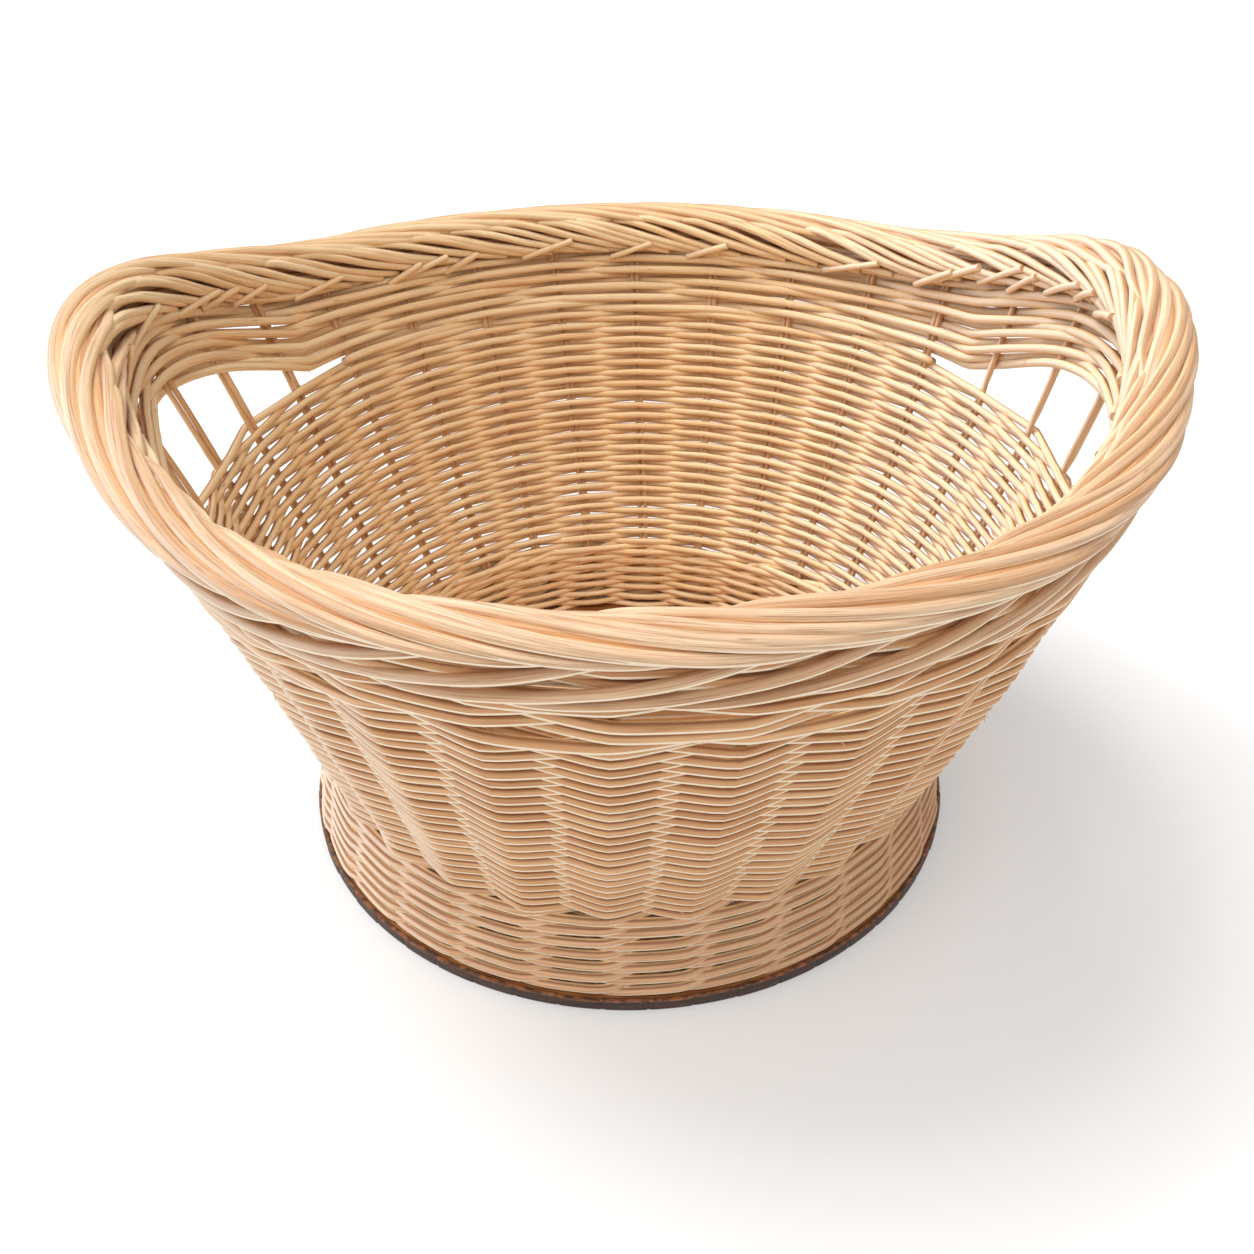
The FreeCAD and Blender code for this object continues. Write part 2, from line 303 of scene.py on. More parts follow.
class Recipe:
    """Builds a material's nodes with few words."""

    def __init__(self, name):
        self.material = bpy.data.materials.new(name)
        self.material.use_nodes = True
        self.tree = self.material.node_tree
        self.shader = self.tree.nodes["Principled BSDF"]

    def node(self, kind, **settings):
        made = self.tree.nodes.new(kind)
        for key, value in settings.items():
            setattr(made, key, value)
        return made

    def link(self, source, target):
        self.tree.links.new(source, target)

    def stretch(self, source, scale):
        """source multiplied by a scale along each of its axes."""
        scaled = self.node("ShaderNodeVectorMath", operation="MULTIPLY")
        scaled.inputs[1].default_value = scale
        self.link(source, scaled.inputs[0])
        return scaled.outputs["Vector"]

    def noise(self, source, detail=3.0, rough=0.55):
        made = self.node("ShaderNodeTexNoise")
        made.inputs["Scale"].default_value = 1.0
        made.inputs["Detail"].default_value = detail
        made.inputs["Roughness"].default_value = rough
        self.link(source, made.inputs["Vector"])
        return made.outputs["Fac"]

    def ramp(self, source, low, high, start=0.0, end=1.0):
        """source spread from start at low to end at high."""
        made = self.node("ShaderNodeMapRange")
        for socket, value in zip(("From Min", "From Max", "To Min", "To Max"),
                                 (low, high, start, end)):
            made.inputs[socket].default_value = value
        self.link(source, made.inputs["Value"])
        return made.outputs["Result"]

    def mix(self, factor, one, two):
        """Two colours mixed; each is a colour or a socket, factor a number or a socket."""
        made = self.node("ShaderNodeMix", data_type="RGBA")
        for socket, value in ((made.inputs[0], factor), (made.inputs[6], one),
                              (made.inputs[7], two)):
            if isinstance(value, bpy.types.NodeSocket):
                self.link(value, socket)
            else:
                socket.default_value = value
        return made.outputs[2]

    def times(self, one, two):
        made = self.node("ShaderNodeMath", operation="MULTIPLY")
        self.link(one, made.inputs[0])
        self.link(two, made.inputs[1])
        return made.outputs[0]

    def leftward(self):
        """1 where the surface faces -X, the side the left lamp lights."""
        parts = self.node("ShaderNodeSeparateXYZ")
        self.link(self.node("ShaderNodeNewGeometry").outputs["Normal"], parts.inputs["Vector"])
        return self.ramp(parts.outputs["X"], -1, 1, 1, -1)

    def bump(self, source, depth):
        made = self.node("ShaderNodeBump")
        made.inputs["Strength"].default_value = 1.0
        made.inputs["Distance"].default_value = depth
        self.link(source, made.inputs["Height"])
        self.link(made.outputs["Normal"], self.shader.inputs["Normal"])


def facing(finish):
    """How far the surface faces away from the basket's axis (1) or to it (-1), and its
    upward slope, 1 on top and -1 underneath."""
    geometry = finish.node("ShaderNodeNewGeometry")
    level = finish.stretch(geometry.outputs["Position"], (1, 1, 0))
    radial = finish.node("ShaderNodeVectorMath", operation="NORMALIZE")
    finish.link(level, radial.inputs[0])
    outward = finish.node("ShaderNodeVectorMath", operation="DOT_PRODUCT")
    finish.link(radial.outputs["Vector"], outward.inputs[0])
    finish.link(geometry.outputs["Normal"], outward.inputs[1])
    parts = finish.node("ShaderNodeSeparateXYZ")
    finish.link(geometry.outputs["Normal"], parts.inputs["Vector"])
    return outward.outputs["Value"], parts.outputs["Z"]


def cane(name, outside, inside, inside_facings=(-0.15, 0.25), top_shade=0.0, edge=None):
    """Peeled cane. outside and inside each give its light, deep and fibre colours; the inside
    ones are the cane's colour made warmer by painted bounce light. The third argument says
    between which facings the inside colour gives way to the outside one, the fourth how dark
    the painted shade on the tops of outside rods is, and the last from which slope the
    painted pale line of floor light on their lower edge starts."""
    finish = Recipe(name)
    fibre = finish.node("ShaderNodeAttribute", attribute_name="fibre").outputs["Vector"]
    tone = finish.node("ShaderNodeAttribute", attribute_name="tone").outputs["Fac"]
    outward, upward = facing(finish)
    # How far the surface faces out. The inside colours are the cane's colour made warmer by
    # painted bounce light inside the basket.
    outer_share = finish.ramp(outward, *inside_facings)
    light = finish.mix(outer_share, inside[0], outside[0])
    deep = finish.mix(outer_share, inside[1], outside[1])
    streak = finish.mix(outer_share, inside[2], outside[2])

    threads = finish.noise(finish.stretch(fibre, (30, 1900, 1900)), 4.0, 0.6)
    stains = finish.noise(finish.stretch(fibre, (20, 150, 150)), 3.0)
    stick = finish.mix(finish.ramp(tone, 0, 1, 0.0, 0.9), light, deep)
    stained = finish.mix(finish.ramp(stains, 0.45, 0.75, 0.0, 0.6), stick, deep)
    threaded = finish.mix(finish.ramp(threads, 0.48, 0.66, 0.0, 0.62), stained, streak)

    # Painted light: surfaces facing the left are mixed towards a pale cream, as lit by the lamp
    # on that side.
    painted_left_light = finish.mix(finish.ramp(finish.leftward(), 0.35, 0.95, 0.0, 0.7), threaded,
                       rgb(250, 238, 224))
    # Painted shade: the tops of outside rods, tucked under the row above, are darkened towards
    # brown where that row shades them.
    top = finish.times(outer_share, finish.ramp(upward, 0.66, 0.92, 0.0, top_shade))
    lit_and_shaded = finish.mix(top, painted_left_light, rgb(140, 88, 50))
    # Painted shade: the undersides of outside rods are darkened; it is mixed in after the pale
    # line.
    below = finish.times(outer_share, finish.ramp(upward, -0.50, -0.80, 0.0, 0.8))
    # Painted light: a thin pale line along the lower edge of outside rods, for light bounced up
    # from the white floor.
    if edge is not None:
        edge_light = finish.times(outer_share, finish.ramp(upward, edge, edge - 0.14, 0.0, 1.0))
        lit_and_shaded = finish.mix(edge_light, lit_and_shaded, rgb(255, 236, 206))
    lit_and_shaded = finish.mix(below, lit_and_shaded, rgb(176, 120, 76))

    specks = finish.node("ShaderNodeTexVoronoi")
    specks.inputs["Scale"].default_value = 1.0
    finish.link(finish.stretch(fibre, (24, 210, 210)), specks.inputs["Vector"])
    spot = finish.ramp(specks.outputs["Distance"], 0.03, 0.08, 0.6, 0.0)
    coloured = finish.mix(spot, lit_and_shaded, rgb(150, 100, 60))
    finish.link(coloured, finish.shader.inputs["Base Color"])
    finish.link(finish.ramp(threads, 0.3, 0.7, 0.43, 0.60),
                finish.shader.inputs["Roughness"])
    finish.bump(threads, 0.22 * MM)
    return finish.material


# Each finish has its light, deep and fibre colours. The inside set is the cane's colour made
# warmer by painted bounce light.
WARM_LIT_INSIDE = (rgb(255, 228, 182), rgb(246, 204, 150), rgb(216, 166, 112))
OUTSIDE_CANE = (rgb(232, 184, 134), rgb(208, 152, 100), rgb(172, 116, 70))
PALE = (rgb(236, 202, 166), rgb(196, 146, 100), rgb(152, 102, 62))
stake_cane = cane("stake_cane", (rgb(238, 198, 150), rgb(216, 168, 118), rgb(184, 132, 86)),
                  (rgb(236, 192, 140), rgb(212, 160, 108), rgb(180, 126, 78)))
weave_cane = cane("weave_cane", OUTSIDE_CANE, WARM_LIT_INSIDE, top_shade=0.7, edge=0.02)
# The foot's outside is darker than the wall's: painted shade under the flaring wall.
shaded_foot_cane = cane("shaded_foot_cane", (rgb(222, 176, 134), rgb(198, 148, 104), rgb(164, 112, 72)), WARM_LIT_INSIDE,
                 top_shade=0.8, edge=-0.02)
# Darker cane for the rods deep in the border: painted shade in the gaps between the outer rods.
shaded_core_cane = cane("shaded_core_cane", (rgb(226, 176, 128), rgb(200, 148, 100), rgb(164, 112, 70)),
                 (rgb(230, 182, 130), rgb(204, 152, 102), rgb(166, 114, 70)))
border_cane = cane("border_cane", PALE, WARM_LIT_INSIDE, inside_facings=(-0.75, -0.1), edge=-0.10)

# %% [markdown]
# ## The stakes
#
# The stakes are the basket's skeleton. Each is a pair of thin rods side by side, set into
# the board, upright through the foot and then leaning out to the border. They stand bare
# in the two hand grips. Each CAD pair is replaced by two round rods with a slight wander.

# %% Stakes
STAKE_POINTS = 64
GRIPS = ((180, 38.5, 38 * MM), (354, 38, 39 * MM))
ARCH_POWER = 1.4
SILL_SWERVE = float(swerve(wall_radius(0, SILL + 20 * MM)))


def grip_top(turn):
    """Height of a grip's upper edge above the sill, or 0 where the wall is whole."""
    angle = np.degrees((turn + 0.5 + SILL_SWERVE) * STEP)
    rise = np.zeros_like(np.asarray(angle, float))
    for centre, half, height in GRIPS:
        away = ((angle - centre + 180) % 360 - 180) / half
        bell = np.cos(np.pi / 2 * np.clip(away, -1, 1)) ** ARCH_POWER
        rise += height * bell
    return rise


def stake_rod(number, side):
    """One rod of a pair: side is -1 or 1. In a grip the pair turns its flat side round."""
    top = rim_level(np.array(float(number))) - 3 * MM
    level = np.linspace(BOARD_TOP - 4 * MM, top, STAKE_POINTS)
    wander = np.cumsum(dice.normal(0, 0.05 * MM, STAKE_POINTS))
    wander -= np.linspace(0, wander[-1], STAKE_POINTS)
    bare = min(1.0, float(grip_top(number)) / (8 * MM))
    twist = 1.0 * bare * np.clip((level - SILL + 8 * MM) / (14 * MM), 0, 1)
    apart = side * STAKE_THICK * 0.485
    turn = number + (apart * np.cos(twist) + wander) / (wall_radius(number, level) * STEP)
    return on_wall(turn, level, wander * 0.5 + apart * np.sin(twist), straight=0)


for number in range(STAKES):
    pair = Bundle()
    for side in (-1, 1):
        pair.lay(stake_rod(number, side), STAKE_THICK)
    label = f"stake_pair_{number + 1:02d}"
    pair.piece(label.replace("pair", "rods"), stake_cane, "stakes", label)

# %% [markdown]
# ## Weaving in and out
#
# A weaver passes outside one stake and inside the next. Its distance from the stakes'
# surface is set at each stake, joined by straight runs and then softened a little, as cane
# bends round a stake and is straight between two. The same helper weaves every band: the
# pattern says on which side of each stake the rod goes.

# %% The weaving helper
SAMPLES = 10
IN_REACH = (STAKE_THICK + WEAVER_THICK) / 2
OUT_REACH = IN_REACH + 0.6 * MM


def softened(values, width, closed):
    """values smoothed over a few samples, as stiff cane rounds its corners."""
    window = np.hanning(width + 2)[1:-1]
    window /= window.sum()
    pad = len(window) // 2
    padded = np.pad(values, pad, mode="wrap" if closed else "edge")
    return np.convolve(padded, window, mode="valid")


def woven_path(start, end, level, pattern, outside=OUT_REACH, inside=IN_REACH,
               closed=False, loose=0.25 * MM, straight=1.0, spread=None):
    """A weaver from turn start to turn end. level gives its height, pattern its side, and
    spread, where it is given, how much further out it stands at a height."""
    count = int(round((end - start) * SAMPLES))
    turn = start + np.arange(count) / SAMPLES if closed else np.linspace(start, end, count + 1)
    stakes = np.arange(math.floor(start) - 1, math.ceil(end) + 2)
    own = stakes % STAKES if closed else stakes - stakes[0]
    sway = dice.normal(0, 0.14 * MM, STAKES + len(stakes))[own]
    rise = dice.normal(0, loose, STAKES + len(stakes))[own]
    sides = np.array([pattern(k) for k in stakes], float)
    reach = np.where(sides > 0, outside, inside) * sides + sway
    if spread:
        reach = np.where(reach > 0, reach + spread(level(stakes.astype(float))), reach)
    proud = softened(np.interp(turn, stakes, reach), 5, closed) * 1.1
    height = level(turn) + softened(np.interp(turn, stakes, rise), 7, closed)
    return on_wall(turn, height, proud, straight)


# %% [markdown]
# ## The wall of randing
#
# Plain randing is one rod at a time, outside one stake and inside the next, and the next
# row does the opposite. Seen from either side each rod is a short lens that dives behind
# its neighbours, and the stakes show between them. Rows are packed closer than the rods
# are thick, as they nest where they cross.

# %% Randing
ROW_PITCH = 3.0 * MM
rows = int(round((SILL - FOOT_TOP) / ROW_PITCH))
row_step = (SILL - FOOT_TOP) / rows
ROWS_PER_PIECE = 9


def randing_row(number):
    """One closed row of the wall, counted from the foot."""
    level = FOOT_TOP + (number + 0.5) * row_step
    slack = 1.5 * MM * math.exp(-number / 2)
    return woven_path(0, STAKES, lambda turn: np.full(len(turn), level),
                      lambda k: 1 if (k + number) % 2 else -1, OUT_REACH + slack, closed=True)


for first in range(0, rows, ROWS_PER_PIECE):
    band = Bundle()
    for number in range(first, min(first + ROWS_PER_PIECE, rows)):
        thick = WEAVER_THICK * (1 + dice.normal(0, 0.05))
        band.lay(randing_row(number), thick, closed=True)
    band.piece(f"randing_{first // ROWS_PER_PIECE + 1}", weave_cane, "weave", "lower_siding")

# %% [markdown]
# ## The foot
#
# The foot is worked in three-rod waling with thicker rods. Each rod goes in front of two
# stakes and behind one. It comes out low and close to the wall and ends high and proud, over
# the start of the next rod, so the outside looks like a rope laid in rounds. Three long rods
# spiral up, and each round steps up at the back. The lowest round stands out almost to the
# board's edge.

# %% Foot waling
WALE_ROUNDS = 7
wale_step = (FOOT_TOP - BOARD_TOP) / WALE_ROUNDS
STEP_UP_AT = 7
WALE_REACH = STAKE_THICK / 2 + WALE_THICK * 0.70
WALE_SIDES = (-1, 0.66, 1.12)
WALE_CLIMB = 0.52


def wale_level(turn, phase):
    """Height of one waling rod: its round, and its climb over each float."""
    laps = (turn - STEP_UP_AT) / STAKES
    whole = np.floor(laps)
    ease = np.clip(((laps - whole) * STAKES - (STAKES - 3)) / 3, 0, 1)
    base = BOARD_TOP + wale_step * (whole + ease * ease * (3 - 2 * ease) + 0.5)
    climb_share = np.interp((turn + phase) % 3, [0, 0.4, 2.6, 3], [0, -1, 1, 0])
    return base + climb_share * WALE_CLIMB * wale_step


def wale_spread(level):
    """The foot spreads towards the board."""
    widest = FOOT_SPREAD - FOOT_RADIUS - WALE_THICK / 2 - WALE_REACH * WALE_SIDES[2]
    return widest * np.clip(1 - (level - BOARD_TOP) / (FOOT_TOP - BOARD_TOP), 0, 1)


foot = Bundle()
for phase in range(3):
    path = woven_path(STEP_UP_AT + phase * 0.33, STEP_UP_AT + WALE_ROUNDS * STAKES - 3,
                      lambda turn: wale_level(turn, phase),
                      lambda k: WALE_SIDES[(k + phase) % 3],
                      WALE_REACH, IN_REACH + 0.2 * MM, straight=0.15, spread=wale_spread)
    foot.lay(path, WALE_THICK, tips=(0.4, 0.4))
foot.piece("foot_waling", shaded_foot_cane, "weave", "foot_wale")

# %% [markdown]
# ## The inside of the foot
#
# Inside, the randing goes on down to the board behind the waling, and draws in a little as
# it nears it. Those rows close the foot, so no light comes through between the stout rods.

# %% The randing inside the foot
LINING_INSET = 5.5 * MM
lining = Bundle()
lining_rows = int(round((FOOT_TOP - BOARD_TOP) / ROW_PITCH))
for number in range(lining_rows):
    level = FOOT_TOP - (number + 0.5) * ROW_PITCH
    inset = LINING_INSET * ((number + 0.5) / lining_rows) ** 1.3
    path = woven_path(0, STAKES, lambda turn: np.full(len(turn), level),
                      lambda k: -1 if (k + number) % 2 else 0.1, 0, IN_REACH + inset, closed=True)
    lining.lay(path, WEAVER_THICK * (1 + dice.normal(0, 0.05)), closed=True)
lining.piece("foot_lining", weave_cane, "weave", "foot_wale")

# %% [markdown]
# ## The band under the rim
#
# Above the sill the rows follow the rim, so at the ears they rise with it. Each rod floats
# over two stakes at a time. Thirteen of the fourteen rows run on over the grips, packed
# closer there. The lowest one meets a grip and can't go on: it is turned round the last
# stake and comes back below itself, which leaves the soft, looped edge that such a grip has.

# %% The rows over the grips
UPPER_ROWS = 14
ROWS_OVER_GRIP = 13
UPPER_TOP = BORDER_HEIGHT / 2


def upper_level(turn, number):
    """Height of an upper row, counted from the border down."""
    top = rim_level(turn) - UPPER_TOP
    free = (top - SILL - grip_top(turn)) / ROWS_OVER_GRIP
    pitch = np.minimum(free, (top - SILL) / UPPER_ROWS)
    return top - (number + 0.5) * pitch


def whole_stretches(number):
    """Runs of stakes that an upper row can pass, as (first, last), or None if it closes."""
    stakes = np.arange(STAKES)
    clear = upper_level(stakes, number) - 1.0 * MM > SILL + grip_top(stakes)
    if clear.all():
        return None
    runs = []
    for k in range(STAKES):
        if clear[k] and not clear[k - 1]:
            end = k
            while clear[(end + 1) % STAKES]:
                end += 1
            runs.append((k, end))
    return runs


def float_pattern(number):
    """Outside two stakes and inside two, moved along by two for each row."""
    shift = 2 * number + number // 4
    return lambda k: 1 if (k + shift) % 4 < 2 else -1


def turned_end(stake, ahead, level, side):
    """Points that take a rod round the last stake and back below itself."""
    turn = stake + ahead * np.array([0.10, 0.17, 0.10, -0.3, -0.8, -1.1])
    proud = side * IN_REACH * np.array([1, 0, -1, -1.1, 0.0, 0.8])
    drop = np.array([-0.2, -0.9, -1.5, -2.0, -2.2, -1.8]) * MM
    return on_wall(turn, level + drop, proud, straight=0)


def eased(path, count):
    """A smooth run of points through a few given ones."""
    _, run = along(path, False)
    even = np.linspace(0, run[-1], count)
    dense = np.stack([np.interp(even, run, path[:, axis]) for axis in range(3)], axis=1)
    return np.stack([softened(dense[:, axis], 5, False) for axis in range(3)], axis=1)


upper = Bundle()
for number in range(UPPER_ROWS):
    pattern = float_pattern(number)
    level = lambda turn: upper_level(turn, number)
    runs = whole_stretches(number)
    thick = WEAVER_THICK * (1.13 + dice.normal(0, 0.04))
    if runs is None:
        path = woven_path(0, STAKES, level, pattern, closed=True, loose=0.35 * MM, straight=0.5)
        upper.lay(path, thick, closed=True)
        continue
    for first, last in runs:
        body = woven_path(first, last, level, pattern, loose=0.5 * MM, straight=0.5)
        head = turned_end(first, -1, level(np.array([first]))[0], pattern(first))
        tail = turned_end(last, 1, level(np.array([last]))[0], pattern(last))
        path = np.concatenate([head[::-1], body[2:-2], tail])
        upper.lay(eased(path, len(body) + 24), thick, tips=(0.5, 0.5))
upper.piece("upper_band", weave_cane, "weave", "upper_siding")

# %% [markdown]
# ## Under the border
#
# Where the stakes are turned down into the border, one rod of each pair passes outside the
# next two stakes and climbs in under the roll. From outside these show as long, stout
# strands laid on the slant, one to each stake.

# %% Shoulder strands
SHOULDER_SPAN = 2.9


def through(places, values, count, width=7):
    """Values joined smoothly: places run from 0 to 1 along the strand."""
    return softened(np.interp(np.linspace(0, 1, count), places, values), width, False)


shoulder = Bundle()
for number in range(STAKES):
    turn = number + dice.normal(0, 0.04) + np.linspace(0, SHOULDER_SPAN, 44)
    drop = through([0, 0.25, 0.5, 0.75, 1], [26, 24.5, 20, 12.5, 4], 44) * MM
    proud = through([0, 0.16, 0.45, 0.8, 1], [1.5, 5.4, 6.6, 7.8, 5.5], 44) * MM
    path = on_wall(turn, rim_level(turn) - drop, proud + dice.normal(0, 0.2 * MM), straight=0.3)
    shoulder.lay(path, BORDER_THICK * (1.04 + dice.normal(0, 0.04)), tips=(0.35, 0.7))
shoulder.piece("shoulder_strands", border_cane, "border", "shoulder_wale")

# %% [markdown]
# ## The rolled border
#
# The stake ends are wrapped round the rim, two rods to a stake. They come out at the
# inner edge from under the ones before, make a low arch there, cross the top and slip down
# the outside within four stakes. A twisted torus would be too even, so every rod has its own
# path: roll is its angle round the border's section, from straight out (0) over the top (90)
# to straight in (180), and swell how far from the section's middle it lies.

# %% Border
ROLL_POINTS = 72
# Turns on from the top of the arch, the roll there, and the swell of the two rods.
ROLL_PLAN = ((-0.50, 174, 0.45, 0.40), (-0.22, 162, 0.90, 0.66), (0.00, 148, 1.22, 0.96),
             (0.34, 122, 1.20, 1.06), (0.72, 92, 1.12, 1.06), (1.15, 62, 1.07, 1.03),
             (1.70, 26, 1.04, 1.00), (2.25, -10, 1.02, 0.98), (2.70, -40, 0.96, 0.93),
             (3.10, -78, 0.70, 0.68))
ROD_LAG = (0, 0.42)


def round_border(turn, roll, swell):
    """A point at an angle roll round the border's section, in degrees from straight out."""
    angle = (turn + 0.5 + RIM_SWERVE) * STEP
    half_width = (BORDER_WIDTH - BORDER_THICK) / 2
    half_height = (BORDER_HEIGHT - BORDER_THICK) / 2
    radius = rim_reach(turn) + half_width * swell * np.cos(np.radians(roll))
    level = rim_level(turn) + half_height * swell * np.sin(np.radians(roll))
    return np.stack([radius * np.cos(angle), radius * np.sin(angle), level], axis=-1)


border = Bundle()
ahead, rolls, *swells = np.array(ROLL_PLAN).T
places = (ahead - ahead[0]) / (ahead[-1] - ahead[0])
for number in range(STAKES):
    shift = dice.normal(0, 0.05)
    for lag, bulge in zip(ROD_LAG, swells):
        reach = dice.uniform(1.16, 1.36)
        turn = number + shift - lag + reach * through(places, ahead, ROLL_POINTS, 5)
        loose = 1 + float(climb(number))
        roll = through(places, rolls, ROLL_POINTS, 5) + dice.normal(0, 4) * loose
        wave = np.sin(np.linspace(0, 2 * math.pi, ROLL_POINTS) + dice.uniform(0, 6))
        swell = (through(places, bulge, ROLL_POINTS, 5) + dice.normal(0, 0.04) * loose
                 + 0.05 * loose * wave)
        path = round_border(turn, roll, swell)
        border.lay(path, BORDER_THICK * (1 + dice.normal(0, 0.05)), tips=(0.7, 0.6))
border.piece("rolled_border", border_cane, "border", "border")

# %% [markdown]
# A roll of rods isn't hollow. More rods lie in the gaps between the outer ones, and a few
# more fill the corner between the roll and the top row of the wall, where light would come
# through. They get a darker cane, which is painted shade in those gaps.

# %% Rods inside the roll
CORE_RODS = 13
CORE_SWELL = 0.74
CORE_LAPS = 4
# How far below the border's middle, and how far outside the stakes, in mm.
CORNER_RODS = ((5, 0), (8, -2.4), (8, 2.4), (11.5, 2.4))

core = Bundle()
turn = np.arange(STAKES * 6) / 6
for number in range(CORE_RODS):
    roll = 360 / CORE_RODS * number - 360 / STAKES * CORE_LAPS * turn
    core.lay(round_border(turn, roll, CORE_SWELL), BORDER_THICK, closed=True)
for drop, proud in CORNER_RODS:
    path = on_wall(turn, rim_level(turn) - drop * MM, np.full(len(turn), proud * MM), straight=0)
    core.lay(path, BORDER_THICK, closed=True)
core.piece("border_core", shaded_core_cane, "border", "border")

# %% [markdown]
# ## The plait inside the rim
#
# On the inner face of the rim lies a second lane of strands. They start low on the
# wall and climb to the top of the roll, where they dive under the arches of the border. In
# front of them, at most stakes, one or two stake ends come out of the weave on the opposite
# slant and are cut off short.

# %% Inner plait
# Turns on from the start, how far inside the border's middle, and how far below it, in mm.
CLIMB_PLAN = ((0.0, 9.5, 14.5), (0.30, 12.2, 11.5), (0.70, 12.9, 6.5), (1.05, 11.8, 1.0),
              (1.35, 9.0, -2.4), (1.60, 5.0, -2.0))
END_PLAN = ((0.44, 11.0, 18.0), (0.20, 13.4, 14.6), (-0.06, 14.6, 11.2), (-0.30, 14.8, 8.4))


def in_rim(turn, inward, drop):
    """A point beside the border's middle, measured inwards and down in mm."""
    angle = (turn + 0.5 + RIM_SWERVE) * STEP
    radius = rim_reach(turn) - inward * MM
    level = rim_level(turn) - drop * MM
    return np.stack([radius * np.cos(angle), radius * np.sin(angle), level], axis=-1)


def planned(plan, start, count, stretch=1.0):
    """A rod's path from a plan, starting at a turn."""
    ahead, inward, drop = np.array(plan).T
    places = (ahead - ahead[0]) / (ahead[-1] - ahead[0])
    turn = start + stretch * through(places, ahead, count, 5)
    return in_rim(turn, through(places, inward, count, 5), through(places, drop, count, 5))


PLAIT_LAG = (0, 0.22, 0.58)
plait = Bundle()
for number in range(STAKES):
    for lag in PLAIT_LAG:
        start = number + lag + dice.normal(0, 0.05)
        path = planned(CLIMB_PLAN, start, 44, dice.uniform(1.05, 1.30))
        path[:, 2] += dice.normal(0, 0.7 * MM)
        plait.lay(path, BORDER_THICK * (0.98 + dice.normal(0, 0.05)), tips=(0.9, 0.8))
    for extra in range(dice.choice(3, p=(0.2, 0.55, 0.25))):
        start = number + 0.02 - 0.36 * extra + dice.normal(0, 0.07)
        path = planned(END_PLAN, start, 14, dice.uniform(0.6, 1.15))
        path[:, 2] += dice.normal(0.8 * extra, 1.3) * MM
        plait.lay(path, BORDER_THICK * (0.86 + dice.normal(0, 0.06)))
plait.piece("plait_strands", border_cane, "border", "inner_plait")

# %% [markdown]
# ## Loose fibres
#
# Split cane is never clean: hair-thin fibres lift off the rods and curl, mostly outside and
# at the edges of the grips. They are few and small, but without them cane looks like
# plastic.

# %% Fibres
def loose_fibre(turn, level, proud, length):
    """A hair that lifts off the surface and curls."""
    share = np.linspace(0, 1, 12)
    way = dice.choice([-1, 1])
    bend = dice.uniform(-0.6, 0.9)
    along_turn = turn + way * length * share * (1 - 0.3 * share) / (200 * MM * STEP)
    rise = level + length * bend * share ** 2
    lift = proud + math.copysign(length * dice.uniform(0.2, 0.55), proud) * share ** 1.5
    return on_wall(along_turn, rise, lift, straight=0)


FIBRES = 90
hairs = Bundle()
for number in range(FIBRES):
    turn = dice.uniform(0, STAKES)
    side = 1 if number % 3 else -1
    level = dice.uniform(BOARD_TOP + 4 * MM, SILL + 25 * MM)
    if float(grip_top(turn)) > 0 and level > SILL - 4 * MM:
        level = SILL + float(grip_top(turn))
    reach = side * (OUT_REACH + WEAVER_THICK * 0.35)
    if side > 0 and level < FOOT_TOP:
        reach += float(wale_spread(level))
    hair = loose_fibre(turn, level, reach, dice.uniform(2, 6) * MM)
    hairs.lay(hair, dice.uniform(0.2, 0.38) * MM, tips=(1.0, 0.3))
hairs.piece("loose_fibres", weave_cane, "weave")

# %% [markdown]
# ## The board and its dark band
#
# The board is a plain wooden disc, so the CAD solid stays and gets a wood finish. Its edge
# is bound with thin strips of dark bark, laid end to end.

# %% The board's wood
def board_wood():
    """Planed wood with long grain."""
    finish = Recipe("board_wood")
    place = finish.node("ShaderNodeTexCoord").outputs["Object"]
    grain = finish.noise(finish.stretch(place, (14, 220, 220)), 5.0)
    blotch = finish.noise(finish.stretch(place, (30, 30, 30)), 2.0)
    wood = finish.mix(finish.ramp(grain, 0.35, 0.65), rgb(176, 118, 62), rgb(132, 78, 36))
    worn = finish.mix(finish.ramp(blotch, 0.4, 0.7, 0.0, 0.5), wood, rgb(104, 60, 28))
    finish.link(worn, finish.shader.inputs["Base Color"])
    finish.shader.inputs["Roughness"].default_value = 0.5
    finish.bump(grain, 0.2 * MM)
    return finish.material


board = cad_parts["base_board"]
board.material_slots[0].material = board_wood()

# %% [markdown]
# The upper edges of the strips are torn and show the raw, golden inside of the bark. The
# band is rebuilt as a ring whose upper edge wanders and which has a groove at each seam.

# %% Bark band
def bark():
    """Near-black bark strip with lengthwise fibres and paler torn places."""
    finish = Recipe("dark_bark")
    place = finish.node("ShaderNodeTexCoord").outputs["Object"]
    fibres = finish.noise(finish.stretch(place, (60, 60, 1400)), 4.0)
    torn = finish.noise(finish.stretch(place, (260, 260, 700)), 3.0)
    dark = finish.mix(finish.ramp(fibres, 0.35, 0.7), rgb(44, 30, 26), rgb(78, 54, 44))
    worn = finish.mix(finish.ramp(torn, 0.62, 0.75, 0.0, 0.7), dark, rgb(150, 96, 56))
    raw = finish.mix(finish.ramp(torn, 0.38, 0.58), rgb(150, 92, 50), rgb(70, 44, 30))
    upward = facing(finish)[1]
    topped = finish.mix(finish.ramp(upward, 0.45, 0.75), worn, raw)
    finish.link(topped, finish.shader.inputs["Base Color"])
    finish.shader.inputs["Roughness"].default_value = 0.6
    finish.bump(fibres, 0.3 * MM)
    return finish.material


